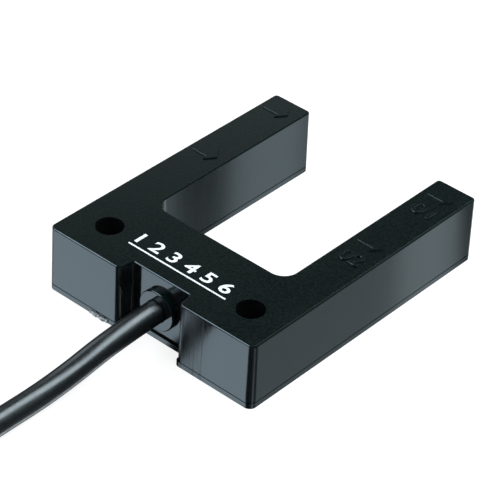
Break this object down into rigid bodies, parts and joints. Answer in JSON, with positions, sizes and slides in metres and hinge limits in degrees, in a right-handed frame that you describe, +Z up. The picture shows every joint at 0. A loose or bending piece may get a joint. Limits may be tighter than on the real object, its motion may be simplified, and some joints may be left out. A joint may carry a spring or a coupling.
{
  "type": "through-beam photoelectric sensor",
  "caption": "Black fork-shaped photoelectric sensor that sees what passes through the slot between its arms, with screw holes beside the cable that leaves its bridge.",
  "frame": {"origin": "on the mounting face under the bridge, midway between the two screw holes", "axes": "+Z up out of the top face; +Y along the arms towards their tips, away from the cable; +X across the slot"},
  "size_m": [0.0712, 0.1212, 0.0116],
  "materials": {
    "housing": "black moulded plastic, fine matt grain on top and smoother on the sides",
    "board": "green solder mask on glass laminate",
    "emitter_resin": "clear blue-tinted resin",
    "receiver_resin": "dark daylight-blocking resin",
    "holder_plastic": "black moulded plastic",
    "package_resin": "black moulding compound",
    "chip_resistor": "black glaze with tinned ends",
    "chip_capacitor": "tan ceramic with tinned ends",
    "seal_rubber": "black rubber",
    "nylon_natural": "natural nylon",
    "nylon_black": "black nylon",
    "cable_jacket": "glossy black cable jacket",
    "core_brown": "brown insulation",
    "core_blue": "blue insulation",
    "core_black": "black insulation",
    "core_white": "white insulation"
  },
  "bodies": {
    "root": {"bottom_cover": "housing", "cable": "cable_jacket", "cable_coil": "cable_jacket", "cable_seal": "seal_rubber", "cable_tail": "cable_jacket", "capacitors": "chip_capacitor", "circuit_board": "board", "coil_tie": "nylon_black", "control_chip": "package_resin", "core_black": "core_black", "core_blue": "core_blue", "core_brown": "core_brown", "core_white": "core_white", "emitter_1": "emitter_resin", "emitter_2": "emitter_resin", "emitter_holder": "holder_plastic", "inner_tie": "nylon_natural", "lead_black": "core_black", "lead_blue": "core_blue", "lead_brown": "core_brown", "lead_white": "core_white", "output_transistors": "package_resin", "protection_diodes": "package_resin", "receiver_1": "receiver_resin", "receiver_2": "receiver_resin", "receiver_holder": "holder_plastic", "regulator": "package_resin", "resistors": "chip_resistor", "upper_case": "housing"}
  },
  "joints": []
}
